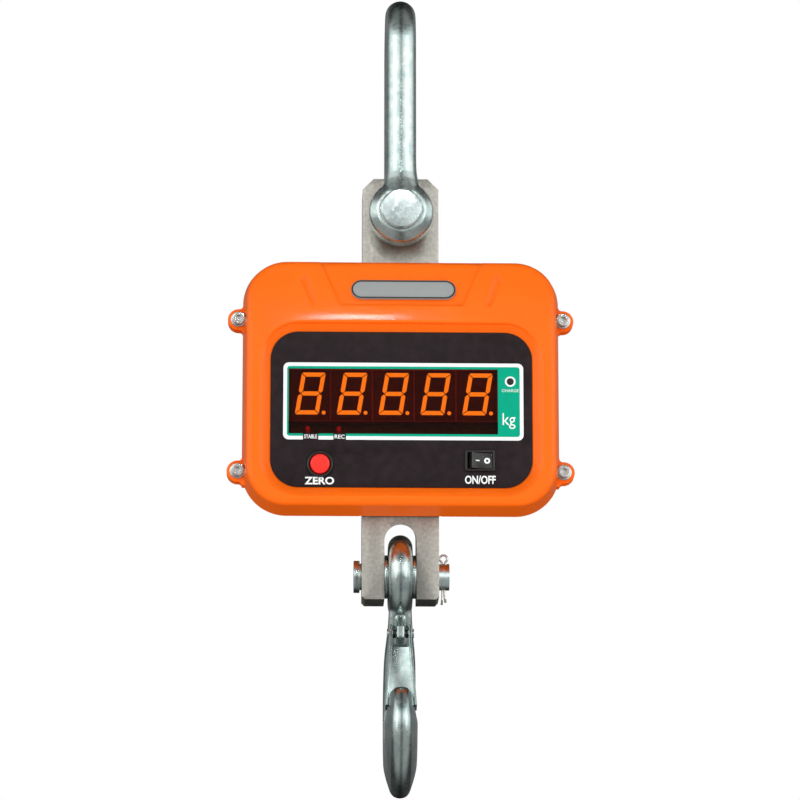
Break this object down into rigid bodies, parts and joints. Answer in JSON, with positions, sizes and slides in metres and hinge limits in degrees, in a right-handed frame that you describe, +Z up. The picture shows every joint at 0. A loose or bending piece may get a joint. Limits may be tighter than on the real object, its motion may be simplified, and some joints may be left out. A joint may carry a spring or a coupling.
{
  "type": "crane scale",
  "caption": "Hanging crane scale: a shackle and pin, a steel load-cell bar through a two-part orange housing with display and controls, and an eye hook with a sprung safety latch.",
  "frame": {"origin": "inner face of the shackle's crown, in the middle of its bar, where the crane's hook bears", "axes": "+Z up along the line of load, -Y out of the display's front face, +X to the right as the display is read"},
  "size_m": [0.2486, 0.105, 0.5879],
  "materials": {
    "zinc_steel": "bright zinc plate over forged and pressed steel",
    "pin_steel": "turned steel, zinc plated",
    "cotter_steel": "drawn wire",
    "cell_steel": "bead-blasted and nickel plated, matt",
    "orange_paint": "glossy powder coat over die-cast aluminium",
    "black_rubber": "matt",
    "screw_steel": "bright",
    "black_oxide": "black oxide",
    "panel_black": "printed polycarbonate overlay, satin",
    "window_red": "dark red acrylic filter, polished",
    "plate_grey": "satin",
    "module_dark": "epoxy-filled display modules",
    "circuit_board": "solder mask",
    "brass": "nickel-free turned brass",
    "gauge_foil": "foil on polyimide",
    "lamp_red": "clear red",
    "lamp_dark": "unlit",
    "black_plastic": "moulded",
    "rocker_black": "moulded, semi-gloss",
    "button_red": "moulded",
    "battery_case": "moulded",
    "tray_steel": "sheet steel",
    "strap_black": "matt",
    "lead_rubber": "wire insulation"
  },
  "bodies": {
    "shackle": {"shackle_bow": "zinc_steel", "shackle_pin": "pin_steel", "shackle_nut": "pin_steel", "shackle_cotter": "cotter_steel"},
    "scale_body": {"load_cell": "cell_steel", "strain_gauges": "gauge_foil", "gauge_covers": "cell_steel", "top_seal": "black_rubber", "bottom_seal": "black_rubber", "front_cover": "orange_paint", "rear_cover": "orange_paint", "cover_gasket": "black_rubber", "cover_screws": "screw_steel", "cover_washers": "screw_steel", "name_plate": "plate_grey", "front_panel": "panel_black", "display_window": "window_red", "led_modules": "module_dark", "display_board": "circuit_board", "board_standoffs": "brass", "board_screws": "screw_steel", "status_lamps": "lamp_red", "charge_lamp": "lamp_dark", "zero_button_housing": "black_plastic", "zero_button_nut": "screw_steel", "power_switch_body": "black_plastic", "cell_bolts": "black_oxide", "battery": "battery_case", "battery_tray": "tray_steel", "battery_straps": "strap_black", "tray_screws": "screw_steel", "battery_leads": "lead_rubber", "main_board": "circuit_board", "main_board_parts": "black_plastic", "main_board_screws": "screw_steel", "gauge_cable": "lead_rubber", "display_cable": "lead_rubber", "charge_socket": "black_plastic", "socket_nut": "screw_steel", "hook_pin": "pin_steel", "pin_spacers": "pin_steel", "hook_pin_cotter": "cotter_steel"},
    "hook": {"hook": "zinc_steel", "latch_pin": "pin_steel", "latch_spring": "cotter_steel"},
    "latch": {"latch": "zinc_steel"},
    "zero_button": {"zero_button_cap": "button_red"},
    "power_rocker": {"power_rocker": "rocker_black"}
  },
  "joints": [
    {"name": "body_swing", "type": "hinge", "parent": "shackle", "child": "scale_body", "pos_m": [0, 0, -0.146], "axis": [0, 1, 0], "range_deg": [-90, 90]},
    {"name": "hook_swing", "type": "hinge", "parent": "scale_body", "child": "hook", "pos_m": [0, 0, -0.4073], "axis": [1, 0, 0], "range_deg": [-75, 75]},
    {"name": "latch_swing", "type": "hinge", "parent": "hook", "child": "latch", "pos_m": [0, -0.0125, -0.4503], "axis": [1, 0, 0], "range_deg": [0, 34], "stiffness_Nm_per_rad": 0.05, "springref_deg": -28.65},
    {"name": "zero_press", "type": "slide", "parent": "scale_body", "child": "zero_button", "axis": [0, 1, 0], "range_m": [0, 0.0025], "stiffness_N_per_m": 400, "springref_m": -0.002},
    {"name": "power_rock", "type": "hinge", "parent": "scale_body", "child": "power_rocker", "pos_m": [0.0558, -0.036, -0.3306], "axis": [0, 0, 1], "range_deg": [-24, 0]}
  ]
}
